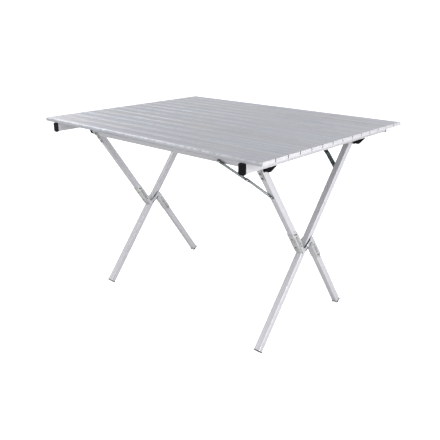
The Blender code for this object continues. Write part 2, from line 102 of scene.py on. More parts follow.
def pickEdges(piece, wanted):
    work = editMode(piece, "EDGE")
    for edge in work.edges:
        ends = [vertex.co for vertex in edge.verts]
        if wanted((ends[0] + ends[1]) / 2, (ends[1] - ends[0]).normalized()):
            edge.select_set(True)
    bmesh.update_edit_mesh(piece.data)


def objectMode():
    bpy.ops.object.mode_set(mode="OBJECT")


def near(value, target, slack=1e-5):
    return abs(value - target) < slack


# starting shapes and the edit steps that pieces share
def addBlock(name, low, high):
    clearSelection()
    middle = [(a + b) / 2 for a, b in zip(low, high)]
    bpy.ops.mesh.primitive_cube_add(size=1, location=middle)
    block = bpy.context.object
    block.name = name
    block.scale = [b - a for a, b in zip(low, high)]
    bpy.ops.object.transform_apply(location=True, rotation=True, scale=True)
    return block


def bevelEdges(piece, wanted, width, segments=3, profile=0.5):
    pickEdges(piece, wanted)
    bpy.ops.mesh.bevel(offset=width, segments=segments, profile=profile, affect="EDGES")
    objectMode()


def insetFaces(piece, wanted, width, sink=0.0, single=False):
    pickFaces(piece, wanted)
    bpy.ops.mesh.inset(thickness=width, depth=sink, use_individual=single)
    objectMode()


def cutAcross(piece, point, normal):
    editMode(piece, "FACE")
    bpy.ops.mesh.select_all(action="SELECT")
    bpy.ops.mesh.bisect(plane_co=point, plane_no=normal)
    objectMode()


def softenEdges(piece, width, segments=2, angle=40):
    choose(piece)
    bevel = piece.modifiers.new("softEdge", "BEVEL")
    bevel.width = width
    bevel.segments = segments
    bevel.limit_method = "ANGLE"
    bevel.angle_limit = math.radians(angle)
    bpy.ops.object.modifier_apply(modifier=bevel.name)


def paintFaces(piece, index, wanted):
    for face in piece.data.polygons:
        if wanted(face.center, face.normal):
            face.material_index = index


def joinPieces(main, others):
    choose(main)
    for other in others:
        other.select_set(True)
    bpy.ops.object.join()
    return main


slotStands = [bpy.data.materials.new(f"stand{number}") for number in range(3)]


def joinPainted(piece, extras):
    # every part brings the same three slots, so its faces keep their slot when it is joined
    for part, index in [(piece, None), *extras]:
        if index is not None:
            paintFaces(part, index, lambda m, n: True)
        setSlots(part, slotStands)
    return joinPieces(piece, [part for part, index in extras])


def copyPiece(piece, name):
    twin = piece.copy()
    twin.data = piece.data.copy()
    twin.name = name
    bpy.context.scene.collection.objects.link(twin)
    return twin


def placePiece(piece, origin, across, outward, upward):
    # local X, Y and Z of the piece are laid along these three directions
    choose(piece)
    matrix = Matrix((across, outward, upward)).transposed().to_4x4()
    matrix.translation = origin
    piece.matrix_world = matrix
    bpy.ops.object.transform_apply(location=True, rotation=True, scale=True)
    editMode(piece, "FACE")
    bpy.ops.mesh.select_all(action="SELECT")
    bpy.ops.mesh.normals_make_consistent(inside=False)
    objectMode()
    return piece


def setSlots(piece, materials):
    # emptying the slots would send every face to the first one, so the faces' slots are put back
    indices = [polygon.material_index for polygon in piece.data.polygons]
    piece.data.materials.clear()
    for material in materials:
        piece.data.materials.append(material)
    for polygon, index in zip(piece.data.polygons, indices):
        polygon.material_index = index


def showPiece(piece, materials, slot, body, *replaced):
    setSlots(piece, materials)
    choose(piece)
    bpy.ops.object.shade_smooth_by_angle(angle=math.radians(32))
    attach(piece, body)
    if replaced:
        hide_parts(*replaced)


def rivetHead(name, radius, height, point, axis, dimple=True):
    # a domed head with a small flat dimple, standing on a surface at point
    clearSelection()
    bpy.ops.mesh.primitive_cylinder_add(vertices=20, radius=radius, depth=height * 1.6)
    head = bpy.context.object
    head.name = name
    top = height * 0.8
    bevelEdges(head, lambda m, d: near(m.z, top, height * 0.1), height * 0.9, 4)
    if dimple:
        insetFaces(head, lambda m, n: n.z > square and m.z > top * 0.9, radius * 0.15, -height * 0.2)
    sideways = axis.orthogonal().normalized()
    return placePiece(head, point + axis * height * 0.2, sideways, axis.cross(sideways), axis)


# frame directions, from where the joints are
pivot = Vector(jointPlace["leg_scissor"])
backRail = Vector(jointPlace["frame_close"])
frontRail = Vector((backRail.x, -backRail.y, backRail.z))
tube = {
    "width": 0.022, "wall": 0.0013, "plane": 0.3915, "besideLeg": 0.0274, "overhang": 0.016,
    "gap": 0.0003,
}
straightLean = math.atan2(backRail.y, backRail.z - pivot.z)
armLength = math.hypot(backRail.y, backRail.z - pivot.z)
splitLean = straightLean - math.asin(tube["besideLeg"] / armLength)


def leanOf(side, angle):
    up = Vector((0, side * math.sin(angle), math.cos(angle)))
    out = Vector((0, side * math.cos(angle), -math.sin(angle)))
    return {"up": up, "out": out}


leans = {"front": leanOf(-1, splitLean), "back": leanOf(1, straightLean)}
rails = {"front": frontRail, "back": backRail}
sides = {"left": -1, "right": 1}
railBody = {"front": "front_frame", "back": "back_frame"}


def leanPoint(lean, start, x, along, outward):
    return start + xAxis * x + lean["up"] * along + lean["out"] * outward


# shared shader groups
def startGroup(name, inputs, outputs):
    group = bpy.data.node_groups.new(name, "ShaderNodeTree")
    for label, kind, value in inputs:
        socket = group.interface.new_socket(name=label, in_out="INPUT", socket_type=kind)
        if value is not None:
            socket.default_value = value
    for label, kind in outputs:
        group.interface.new_socket(name=label, in_out="OUTPUT", socket_type=kind)
    return group, group.nodes.new("NodeGroupInput"), group.nodes.new("NodeGroupOutput")


def addNode(tree, kind, links=None, **settings):
    node = tree.nodes.new(kind)
    for key, value in settings.items():
        setattr(node, key, value)
    for socket, source in (links or {}).items():
        if isinstance(source, bpy.types.NodeSocket):
            tree.links.new(source, node.inputs[socket])
        else:
            node.inputs[socket].default_value = source
    return node


def addMath(tree, operation, first, second=0.0, clamp=False):
    node = addNode(tree, "ShaderNodeMath", {0: first, 1: second}, operation=operation, use_clamp=clamp)
    return node.outputs[0]


def addRange(tree, value, low, high, toLow=0.0, toHigh=1.0):
    links = {"Value": value, "From Min": low, "From Max": high, "To Min": toLow, "To Max": toHigh}
    return addNode(tree, "ShaderNodeMapRange", links, interpolation_type="SMOOTHSTEP").outputs[0]


rubbing = {"radius": 0.0012, "flatDot": 0.995, "wornDot": 0.86, "patchScale": 60.0, "patch": (0.35, 0.62)}
drawing = {"broadShare": (0.6, 0.12, 0.12), "fineWeight": 0.6, "broadWeight": 0.4, "cloudScale": 7.0}
marking = {"smudge": (0.48, 0.72), "scuff": (0.70, 0.78), "stretch": (40.0, 400.0, 220.0),
           "turn": (0.3, 0.5, 0.7)}


def makeEdgeWear():
    # bright rubbed corners: where a rounded normal leaves the true one, broken up by noise
    inputs = [("Place", "NodeSocketVector", None), ("Amount", "NodeSocketFloat", 1.0)]
    group, given, result = startGroup("edgeWear", inputs, [("Mask", "NodeSocketFloat")])
    rounded = addNode(group, "ShaderNodeBevel", {"Radius": rubbing["radius"]}, samples=6)
    surface = addNode(group, "ShaderNodeNewGeometry")
    links = {0: rounded.outputs[0], 1: surface.outputs["Normal"]}
    turn = addNode(group, "ShaderNodeVectorMath", links, operation="DOT_PRODUCT")
    edge = addRange(group, turn.outputs["Value"], rubbing["flatDot"], rubbing["wornDot"])
    patch = addNode(group, "ShaderNodeTexNoise", {
        "Vector": given.outputs["Place"], "Scale": rubbing["patchScale"], "Detail": 4.0})
    broken = addRange(group, patch.outputs["Fac"], *rubbing["patch"])
    worn = addMath(group, "MULTIPLY", edge, broken)
    mask = addMath(group, "MULTIPLY", worn, given.outputs["Amount"], clamp=True)
    group.links.new(mask, result.inputs["Mask"])
    return group


def makeBrushed():
    # long drawn lines along local X of the place that is handed in
    inputs = [
        ("Place", "NodeSocketVector", None), ("Length", "NodeSocketFloat", 3.0),
        ("Fineness", "NodeSocketFloat", 900.0)]
    outputs = [("Lines", "NodeSocketFloat"), ("Cloud", "NodeSocketFloat")]
    group, given, result = startGroup("brushedLines", inputs, outputs)
    scale = addNode(group, "ShaderNodeCombineXYZ", {
        "X": given.outputs["Length"], "Y": given.outputs["Fineness"], "Z": given.outputs["Fineness"]})
    links = {0: given.outputs["Place"], 1: scale.outputs[0]}
    stretched = addNode(group, "ShaderNodeVectorMath", links, operation="MULTIPLY")
    fine = addNode(group, "ShaderNodeTexNoise", {
        "Vector": stretched.outputs[0], "Scale": 1.0, "Detail": 3.0, "Roughness": 0.6})
    links = {0: stretched.outputs[0], 1: drawing["broadShare"]}
    wide = addNode(group, "ShaderNodeVectorMath", links, operation="MULTIPLY")
    broad = addNode(group, "ShaderNodeTexNoise", {"Vector": wide.outputs[0], "Scale": 1.0, "Detail": 2.0})
    fineShare = addMath(group, "MULTIPLY", fine.outputs["Fac"], drawing["fineWeight"])
    links = {0: broad.outputs["Fac"], 1: drawing["broadWeight"], 2: fineShare}
    lines = addNode(group, "ShaderNodeMath", links, operation="MULTIPLY_ADD")
    cloud = addNode(group, "ShaderNodeTexNoise", {
        "Vector": given.outputs["Place"], "Scale": drawing["cloudScale"], "Detail": 3.0})
    group.links.new(lines.outputs[0], result.inputs["Lines"])
    group.links.new(cloud.outputs["Fac"], result.inputs["Cloud"])
    return group


def makeHandling():
    # faint smudges and small scuffs left by handling
    inputs = [("Place", "NodeSocketVector", None), ("Size", "NodeSocketFloat", 14.0)]
    outputs = [("Smudge", "NodeSocketFloat"), ("Scuff", "NodeSocketFloat")]
    group, given, result = startGroup("handlingMarks", inputs, outputs)
    bent = addNode(group, "ShaderNodeTexNoise", {
        "Vector": given.outputs["Place"], "Scale": given.outputs["Size"], "Detail": 5.0, "Distortion": 0.8})
    smudge = addRange(group, bent.outputs["Fac"], *marking["smudge"])
    scratch = addNode(group, "ShaderNodeMapping", {
        "Vector": given.outputs["Place"], "Scale": marking["stretch"], "Rotation": marking["turn"]})
    thin = addNode(group, "ShaderNodeTexNoise", {"Vector": scratch.outputs[0], "Scale": 1.0, "Detail": 2.0})
    scuff = addRange(group, thin.outputs["Fac"], *marking["scuff"])
    group.links.new(smudge, result.inputs["Smudge"])
    group.links.new(scuff, result.inputs["Scuff"])
    return group


edgeWear = makeEdgeWear()
brushedLines = makeBrushed()
handlingMarks = makeHandling()
print("shader groups ready")


def placeGroup(tree, group, links):
    return addNode(tree, "ShaderNodeGroup", links, node_tree=group)


def mixColour(tree, amount, first, second, blend="MIX"):
    links = {"Factor": amount, "A": first, "B": second}
    node = addNode(tree, "ShaderNodeMix", data_type="RGBA", blend_type=blend)
    # the mix node has a socket of each name for every data type
    for label, source in links.items():
        kind = "VALUE" if label == "Factor" else "RGBA"
        socket = [each for each in node.inputs if each.name == label and each.type == kind][0]
        if isinstance(source, bpy.types.NodeSocket):
            tree.links.new(source, socket)
        else:
            socket.default_value = source if label == "Factor" else (*source, 1.0)
    return [each for each in node.outputs if each.type == "RGBA"][0]


def startMaterial(name, metallic, specular=0.5):
    material = bpy.data.materials.new(name)
    material.use_nodes = True
    tree = material.node_tree
    shader = tree.nodes["Principled BSDF"]
    shader.inputs["Metallic"].default_value = metallic
    shader.inputs["Specular IOR Level"].default_value = specular
    place = addNode(tree, "ShaderNodeTexCoord").outputs["Object"]
    return material, tree, shader, place


def makeMetal(name, look, turn=(0.0, 0.0, 0.0), slats=None):
    # drawn and brushed metal; turn lays the lines along the piece
    material, tree, shader, place = startMaterial(name, look["metallic"])
    laid = addNode(tree, "ShaderNodeMapping", {"Vector": place, "Rotation": turn}).outputs[0]
    brushed = placeGroup(tree, brushedLines, {
        "Place": laid, "Length": look["lineLength"], "Fineness": look["fineness"]})
    marks = placeGroup(tree, handlingMarks, {"Place": place, "Size": look["smudgeSize"]})
    worn = placeGroup(tree, edgeWear, {"Place": place, "Amount": look["wear"]}).outputs["Mask"]
    tone = addRange(tree, brushed.outputs["Lines"], 0.36, 0.64)
    colour = mixColour(tree, tone, look["dark"], look["light"])
    cloud = addRange(tree, brushed.outputs["Cloud"], 0.38, 0.66)
    colour = mixColour(tree, addMath(tree, "MULTIPLY", cloud, look["cloudiness"]), colour, look["tint"])
    if slats:
        colour = addSlatTintsAndEdgeHighlights(tree, place, colour, slats)
    smudged = addMath(tree, "MULTIPLY", marks.outputs["Smudge"], look["smudge"])
    colour = mixColour(tree, smudged, colour, look["stain"])
    scuffed = addMath(tree, "MULTIPLY", marks.outputs["Scuff"], look["scuff"])
    colour = mixColour(tree, scuffed, colour, look["bare"])
    colour = mixColour(tree, worn, colour, look["bare"])
    tree.links.new(colour, shader.inputs["Base Color"])
    rough = addRange(tree, brushed.outputs["Lines"], 0.3, 0.7, look["gloss"] + 0.06, look["gloss"] - 0.05)
    rough = addMath(tree, "ADD", rough, addMath(tree, "MULTIPLY", marks.outputs["Smudge"], 0.10))
    rough = addMath(tree, "SUBTRACT", rough, addMath(tree, "MULTIPLY", worn, 0.10), clamp=True)
    tree.links.new(rough, shader.inputs["Roughness"])
    scratched = addMath(tree, "MULTIPLY", marks.outputs["Scuff"], 0.5)
    height = addMath(tree, "SUBTRACT", brushed.outputs["Lines"], scratched)
    bump = addNode(tree, "ShaderNodeBump", {"Height": height, "Strength": look["bump"], "Distance": 0.0002})
    tree.links.new(bump.outputs[0], shader.inputs["Normal"])
    return material


def addSlatTintsAndEdgeHighlights(tree, place, colour, slats):
    # each slat's own tint, soft bands along it, and a painted highlight along both its long edges, from its
    # place across the top
    across = addNode(tree, "ShaderNodeSeparateXYZ", {0: place}).outputs["Y"]
    count = addMath(tree, "DIVIDE", addMath(tree, "SUBTRACT", across, slats["start"]), slats["pitch"])
    number = addMath(tree, "FLOOR", count)
    within = addMath(tree, "FRACT", count)
    chance = addNode(tree, "ShaderNodeTexWhiteNoise", noise_dimensions="1D")
    tree.links.new(number, chance.inputs["W"])
    tinted = addMath(tree, "MULTIPLY", chance.outputs["Value"], slats["tintShare"])
    colour = mixColour(tree, tinted, colour, slats["cool"])
    ramp = addNode(tree, "ShaderNodeValToRGB", {"Fac": within})
    ramp.color_ramp.interpolation = "EASE"
    stops = ramp.color_ramp.elements
    for position, value in slats["bands"]:
        stop = stops.new(position) if position not in (0.0, 1.0) else stops[0 if position == 0.0 else -1]
        stop.color = (value, value, value, 1.0)
    return mixColour(tree, slats["bandShare"], colour, ramp.outputs["Color"], blend="MULTIPLY")


def makePlastic(name, look):
    # moulded plastic with a fine spark-eroded grain and pale rubbed corners
    material, tree, shader, place = startMaterial(name, 0.0, look["specular"])
    marks = placeGroup(tree, handlingMarks, {"Place": place, "Size": 30.0})
    worn = placeGroup(tree, edgeWear, {"Place": place, "Amount": look["wear"]}).outputs["Mask"]
    grain = addNode(tree, "ShaderNodeTexNoise", {"Vector": place, "Scale": look["grain"], "Detail": 3.0})
    cells = addNode(tree, "ShaderNodeTexVoronoi", {"Vector": place, "Scale": look["grain"] * 0.8})
    colour = mixColour(tree, grain.outputs["Fac"], look["dark"], look["light"])
    dusty = addMath(tree, "MULTIPLY", marks.outputs["Smudge"], look["dust"])
    colour = mixColour(tree, dusty, colour, look["dustColour"])
    colour = mixColour(tree, worn, colour, look["rubbed"])
    tree.links.new(colour, shader.inputs["Base Color"])
    rough = addRange(tree, grain.outputs["Fac"], 0.3, 0.7, look["gloss"] - 0.06, look["gloss"] + 0.08)
    rougher = addMath(tree, "MULTIPLY", marks.outputs["Smudge"], 0.12)
    rough = addMath(tree, "ADD", rough, rougher, clamp=True)
    tree.links.new(rough, shader.inputs["Roughness"])
    height = addMath(tree, "ADD", cells.outputs["Distance"], grain.outputs["Fac"])
    bump = addNode(tree, "ShaderNodeBump", {"Height": height, "Strength": look["bump"], "Distance": 0.0003})
    tree.links.new(bump.outputs[0], shader.inputs["Normal"])
    return material


slatLook = {
    "metallic": 0.8, "dark": (0.35, 0.355, 0.38), "light": (0.44, 0.45, 0.48), "tint": (0.43, 0.415, 0.385),
    "bare": (0.66, 0.67, 0.70), "stain": (0.35, 0.36, 0.38), "cloudiness": 0.35, "smudge": 0.12,
    "scuff": 0.25, "wear": 0.8, "gloss": 0.40, "bump": 0.25, "lineLength": 2.5, "fineness": 700.0,
    "smudgeSize": 9.0,
}
slatTintsAndEdgeHighlights = {
    "start": cadLow.y - 0.0005, "pitch": 0.057, "tintShare": 0.45, "cool": (0.39, 0.415, 0.48),
    # the stops near 0 and 1 brighten each slat's long edges as a painted highlight; the stops between are
    # soft bands of tone
    "bandShare": 1.0, "bands": [
        (0.0, 1.0), (0.04, 1.0), (0.10, 0.89), (0.42, 0.95), (0.66, 0.89), (0.90, 0.93), (0.97, 1.0),
        (1.0, 1.0)],
}
tubeLook = {
    "metallic": 0.4, "dark": (0.45, 0.45, 0.47), "light": (0.53, 0.53, 0.56), "tint": (0.50, 0.49, 0.48),
    "bare": (0.70, 0.70, 0.73), "stain": (0.41, 0.41, 0.42), "cloudiness": 0.3, "smudge": 0.15,
    "scuff": 0.3, "wear": 0.9, "gloss": 0.40, "bump": 0.2, "lineLength": 2.0, "fineness": 900.0,
    "smudgeSize": 12.0,
}
zincLook = {
    "metallic": 0.7, "dark": (0.46, 0.46, 0.455), "light": (0.60, 0.605, 0.60), "tint": (0.53, 0.54, 0.545),
    "bare": (0.72, 0.73, 0.73), "stain": (0.28, 0.28, 0.27), "cloudiness": 0.6, "smudge": 0.35,
    "scuff": 0.4, "wear": 1.0, "gloss": 0.36, "bump": 0.35, "lineLength": 120.0, "fineness": 260.0,
    "smudgeSize": 40.0,
}
polishedLook = dict(
    zincLook, dark=(0.50, 0.51, 0.53), light=(0.62, 0.635, 0.65), gloss=0.22, smudge=0.15, cloudiness=0.2)
# dark steel for rivets, studs and the brace strips' ends; the same material paints shade on strap sides,
# slot borders and crossing-plate lips
darkSteelAndShadeLook = dict(
    zincLook, dark=(0.045, 0.052, 0.052), light=(0.09, 0.105, 0.105), tint=(0.06, 0.08, 0.075),
    bare=(0.45, 0.47, 0.47), stain=(0.03, 0.03, 0.03), gloss=0.34, wear=0.5, scuff=0.2)
braceLook = dict(
    zincLook, dark=(0.16, 0.20, 0.195), light=(0.25, 0.30, 0.29), tint=(0.20, 0.26, 0.24),
    bare=(0.55, 0.57, 0.57), wear=0.7)
# a lighter copy of the brace steel for the front brace, painted light
litFrontBraceLook = dict(
    zincLook, dark=(0.24, 0.26, 0.265), light=(0.34, 0.36, 0.365), tint=(0.28, 0.31, 0.32), wear=0.7)
blackLook = {
    "specular": 0.06, "dark": (0.003, 0.003, 0.004), "light": (0.008, 0.008, 0.010),
    "rubbed": (0.04, 0.04, 0.045), "dustColour": (0.03, 0.03, 0.03), "dust": 0.10, "wear": 0.6,
    "grain": 900.0, "gloss": 0.42, "bump": 0.35,
}
whiteLook = {
    "specular": 0.35, "dark": (0.38, 0.38, 0.40), "light": (0.43, 0.43, 0.45), "rubbed": (0.50, 0.50, 0.50),
    "dustColour": (0.50, 0.50, 0.50), "dust": 0.15, "wear": 0.3, "grain": 700.0, "gloss": 0.45, "bump": 0.2,
}
quarter = math.pi / 2
slatMetal = makeMetal("slatAluminium", slatLook, slats=slatTintsAndEdgeHighlights)
railMetal = makeMetal("longRailAluminium", tubeLook)
endRailMetal = makeMetal("endRailAluminium", tubeLook, turn=(0.0, 0.0, quarter))
legMetal = {
    "front": makeMetal("splitLegAluminium", tubeLook, turn=(-splitLean, quarter, 0.0)),
    "back": makeMetal("straightLegAluminium", tubeLook, turn=(straightLean, quarter, 0.0)),
}
zincSteel = makeMetal("zincSteel", zincLook)
polishedSteel = makeMetal("polishedZinc", polishedLook)
darkSteelAndPaintedShade = makeMetal("darkSteelAndPaintedShade", darkSteelAndShadeLook)
# the front brace's steel is a lighter copy of the back brace's, painted light on one kind of steel
braceSteel = {
    "front": makeMetal("frontBraceSteelPaintedLit", litFrontBraceLook),
    "back": makeMetal("backBraceSteel", braceLook),
}
steelSlots = [zincSteel, darkSteelAndPaintedShade, polishedSteel]
blackPlastic = makePlastic("blackPlastic", blackLook)
footPlastic = makePlastic("footPlastic", dict(blackLook, gloss=0.55, dust=0.3, wear=0.9))
whitePlastic = makePlastic("slatEndPlastic", whiteLook)
print("materials ready")

# the roll-up top: drawn slats with a moulded plug in each end
slat = {
    "count": 14, "pitch": 0.057, "gap": 0.0006, "thickness": 0.012, "wall": 0.0016, "bays": 3,
    "bayShare": 0.4, "noseSegments": 8, "plug": 0.003, "plugPanel": 0.0016, "panelRim": 0.0004,
    "edge": 0.0012, "nose": 0.0068, "grooveFromEdge": 0.0085, "grooveWidth": 0.0012, "grooveDepth": 0.0003,
    "plugGap": 0.0013, "plugGapDepth": 0.0075, "tabSetBack": 0.0005,
}
slatTop = cadHigh.z
slatUnder = slatTop - slat["thickness"]
halfLength = cadHigh.x
slatWidth = slat["pitch"] - slat["gap"]
topWidth = slat["count"] * slat["pitch"] - slat["gap"]


def makeSlat(name, noseSide=0):
    # one drawn slat about y = 0; noseSide rounds the outermost long edge
    half = slatWidth / 2
    end = halfLength - slat["plug"]
    piece = addBlock(name, (-end, -half, slatUnder), (end, half, slatTop))
    for line in (-half + slatWidth / slat["bays"], half - slatWidth / slat["bays"]):
        cutAcross(piece, (0, line, 0), (0, 1, 0))
    insetFaces(piece, lambda m, n: n.z < -square, slat["wall"] / 2, single=True)
    # the wide bays between the ribs are pushed up until only the top wall is left
    work = editMode(piece, "FACE")
    for face in work.faces:
        if face.normal.z < -square and face.calc_area() > slatWidth * end * slat["bayShare"]:
            face.select_set(True)
    bmesh.update_edit_mesh(piece.data)
    lift = slat["thickness"] - slat["wall"]
    bpy.ops.mesh.extrude_region_move(TRANSFORM_OT_translate={"value": (0, 0, lift)})
    objectMode()
    for side in (-1, 1):
        isNose = side == noseSide
        width = slat["nose"] if isNose else slat["edge"]
        segments = slat["noseSegments"] if isNose else 3
        edge = side * half
        corner = lambda m, d: near(m.y, edge) and near(m.z, slatTop) and abs(d.x) > square
        bevelEdges(piece, corner, width, segments)
        inward = edge - side * slat["grooveFromEdge"]
        for line in (inward - slat["grooveWidth"] / 2, inward + slat["grooveWidth"] / 2):
            cutAcross(piece, (0, line, 0), (0, 1, 0))
        pickFaces(piece, lambda m, n: n.z > square and near(m.z, slatTop, 1e-6) and near(m.y, inward, 1e-4))
        bpy.ops.mesh.inset(thickness=slat["grooveWidth"] * 0.3, depth=-slat["grooveDepth"])
        objectMode()
    return piece


def makeSlatPlug(name, noseSide=0):
    # plate on the slat's end, its upper corners cut back so a slit shows at each joint, with a black tab
    # set in each slit as painted shade
    half = slatWidth / 2
    piece = addBlock(name, (halfLength - slat["plug"], -half, slatUnder), (halfLength, half, slatTop))
    slit = slatTop - slat["plugGapDepth"]
    cutAcross(piece, (0, 0, slit), (0, 0, 1))
    for side in (-1, 1):
        if side == noseSide:
            corner = lambda m, d: near(m.y, side * half) and near(m.z, slatTop) and abs(d.x) > square
            bevelEdges(piece, corner, slat["nose"], slat["noseSegments"])
            continue
        pickFaces(piece, lambda m, n: n.y * side > square and m.z > slit)
        bpy.ops.transform.translate(value=(0, -side * slat["plugGap"], 0))
        objectMode()
    softenEdges(piece, 0.0003, 2)
    outer = lambda m, n: n.x > square and m.x > halfLength - 1e-4
    insetFaces(piece, outer, slat["plugPanel"])
    panel = lambda m, n: outer(m, n) and abs(m.y) < half * 0.8
    insetFaces(piece, panel, slat["panelRim"], -slat["panelRim"])
    # a black tab in each slit is painted shade: a dark backing so that the slit reads dark
    tabs = []
    for side in (-1, 1):
        if side == noseSide:
            continue
        edges = sorted((side * (half - slat["plugGap"] - 0.0004), side * half))
        tab = addBlock(
            "slitShadeTab", (halfLength - slat["plug"] + 0.0004, edges[0], slit - 0.0004),
            (halfLength - slat["tabSetBack"], edges[1], slatTop - slat["tabSetBack"]))
        softenEdges(tab, 0.0002, 2)
        tabs.append((tab, 1))
    return joinPainted(piece, tabs)


plainSlat = makeSlat("slatPlain")
noseSlats = {1: makeSlat("slatNoseBack", 1), -1: makeSlat("slatNoseFront", -1)}
plainPlug = makeSlatPlug("plugPlain")
nosePlugs = {1: makeSlatPlug("plugNoseBack", 1), -1: makeSlatPlug("plugNoseFront", -1)}
for index in range(slat["count"]):
    middle = -topWidth / 2 + slatWidth / 2 + index * slat["pitch"]
    edgeSide = {0: -1, slat["count"] - 1: 1}.get(index, 0)
    node = f"slat_{index + 1:02d}"
    shell = copyPiece(noseSlats[edgeSide] if edgeSide else plainSlat, f"topSlat{index + 1:02d}")
    placePiece(shell, Vector((0, middle, 0)), xAxis, yAxis, zAxis)
    showPiece(shell, [slatMetal], "slat_aluminium", node, node)
    for sideName, side in sides.items():
        pattern = nosePlugs[edgeSide] if edgeSide else plainPlug
        plug = copyPiece(pattern, f"slatPlug{index + 1:02d}_{sideName}")
        placePiece(plug, Vector((0, middle, 0)), xAxis * side, yAxis, zAxis)
        showPiece(plug, [whitePlastic, blackPlastic, whitePlastic], "slat_aluminium", node)
for pattern in (plainSlat, plainPlug, *noseSlats.values(), *nosePlugs.values()):
    bpy.data.objects.remove(pattern)
print("slats ready")

# square tubes keep their shape from the frame and get a drawn, anodised finish
for sideName in sides:
    nodes[f"end_rail_{sideName}"].data.materials[0] = endRailMetal
    nodes[f"leg_straight_{sideName}"].data.materials[0] = legMetal["back"]
    for half in ("upper", "lower"):
        nodes[f"leg_{half}_{sideName}"].data.materials[0] = legMetal["front"]
for face in rails:
    nodes[f"long_rail_{face}"].data.materials[0] = railMetal

# black caps in the ends of the end rails
cap = {
    "round": 0.0062, "edge": 0.0007, "panelInset": 0.0028, "panelRim": 0.0005, "panelSink": 0.0007,
    "plate": 0.004, "stem": 0.014, "stemGap": 0.0008,
}


def makeEndCap(face, sideName):
    node = f"end_cap_{face}_{sideName}"
    low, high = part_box(node)
    outward = -1 if face == "front" else 1
    edge = low.y if outward < 0 else high.y
    inside = edge - outward * cap["plate"]
    middle = (low + high) / 2
    first, last = sorted((edge, inside))
    plate = addBlock(f"railCap_{face}_{sideName}", (low.x, first, low.z), (high.x, last, high.z))
    bevelEdges(plate, lambda m, d: abs(d.y) > square and m.z > high.z - 0.001, cap["round"], 7)
    bevelEdges(plate, lambda m, d: abs(d.y) > square and m.z < low.z + 0.001, cap["round"] * 0.35, 4)
    bevelEdges(plate, lambda m, d: near(m.y, edge) and abs(d.y) < 0.01, cap["edge"], 3)
    front = lambda m, n: n.y * outward > square and near(m.y, edge, 1e-4)
    insetFaces(plate, front, cap["panelInset"])
    panel = lambda m, n: front(m, n) and near(m.x, middle.x, 0.001) and near(m.z, middle.z, 0.004)
    insetFaces(plate, panel, cap["panelRim"], -cap["panelSink"])
    wall = tube["wall"] + cap["stemGap"]
    first, last = sorted((inside, inside - outward * cap["stem"]))
    stem = addBlock(
        "capStem", (low.x + wall, first, low.z + wall + 0.001),
        (high.x - wall, last, high.z - wall - 0.003))
    softenEdges(stem, 0.0008, 2)
    joinPieces(plate, [stem])
    placePiece(plate, Vector((0, 0, 0)), xAxis, yAxis, zAxis)
    showPiece(plate, [blackPlastic], "black_plastic", "top_frame", node)


for sideName in sides:
    for face in rails:
        makeEndCap(face, sideName)
print("end caps ready")

# plugs in the ends of the long rails, each with the tongue that an end rail sits on
railPlug = {
    "flange": 0.003, "edge": 0.0006, "tongueWide": 0.0055, "reach": 0.041, "bellyShare": 0.5,
    "tipShare": 0.2, "tipWide": 0.45, "stem": 0.012, "screw": 0.0024, "screwHeight": 0.0010,
    "screwAside": 0.0035,
}


def makeRailPlug(face, sideName):
    node = f"rail_plug_{face}_{sideName}"
    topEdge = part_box(node)[1].z
    side = sides[sideName]
    lean = leans[face]
    half = tube["width"] / 2
    start = rails[face] + xAxis * side * (tube["plane"] + tube["overhang"] + tube["gap"])
    plate = addBlock(f"railPlug_{face}_{sideName}", (-half, -half, 0), (half, half, railPlug["flange"]))
    bevelEdges(plate, lambda m, d: abs(d.z) > square, 0.0022, 4)
    bevelEdges(plate, lambda m, d: near(m.z, railPlug["flange"]), railPlug["edge"], 2)
    insetFaces(plate, lambda m, n: n.z > square and m.z > railPlug["flange"] * 0.9, 0.0028, -0.0008)
    placePiece(plate, start, lean["out"], lean["up"], xAxis * side)
    depth = topEdge - start.z
    reach = railPlug["reach"]
    tongue = addBlock("tongue", (-railPlug["tongueWide"], -half, 0), (railPlug["tongueWide"], depth, reach))
    cutAcross(tongue, (0, 0, reach * railPlug["bellyShare"]), (0, 0, 1))
    pickFaces(tongue, lambda m, n: n.z > square)
    taper = (railPlug["tipWide"], railPlug["tipShare"], 1)
    bpy.ops.transform.resize(value=taper, center_override=(0, depth, reach))
    objectMode()
    bevelEdges(tongue, lambda m, d: near(m.y, depth) and abs(d.z) > 0.9, 0.0009, 3)
    for sign in (-1, 1):
        insetFaces(tongue, lambda m, n: n.x * sign > 0.9, 0.0016, -0.0012)
    softenEdges(tongue, 0.0004, 2)
    placePiece(tongue, start, yAxis, zAxis, xAxis * side)
    stemHalf = half - tube["wall"] - 2 * tube["gap"]
    stem = addBlock("stem", (-stemHalf, -stemHalf, -railPlug["stem"]), (stemHalf, stemHalf, 0.0005))
    softenEdges(stem, 0.0006, 2)
    placePiece(stem, start, lean["out"], lean["up"], xAxis * side)
    aside = (lean["out"] - lean["up"]) * railPlug["screwAside"]
    spot = start + xAxis * side * (railPlug["flange"] - 0.0008) + aside
    screw = rivetHead("plugScrew", railPlug["screw"], railPlug["screwHeight"], spot, xAxis * side)
    joinPainted(plate, [(tongue, 0), (stem, 0), (screw, 1)])
    showPiece(plate, [blackPlastic, zincSteel], "black_plastic", railBody[face], node)


for sideName in sides:
    for face in rails:
        makeRailPlug(face, sideName)
print("rail plugs ready")

# straps over each leg top, riveted through rail and leg
strap = {
    "width": 0.019, "length": 0.056, "above": 0.006, "thickness": 0.0016, "corner": 0.0045,
    "edge": 0.0004, "rim": 0.0022, "panelRim": 0.0008, "panelSink": 0.0003, "rivet": 0.0042,
    "rivetHeight": 0.0014, "rivetsDown": (0.0, 0.020, 0.040),
}


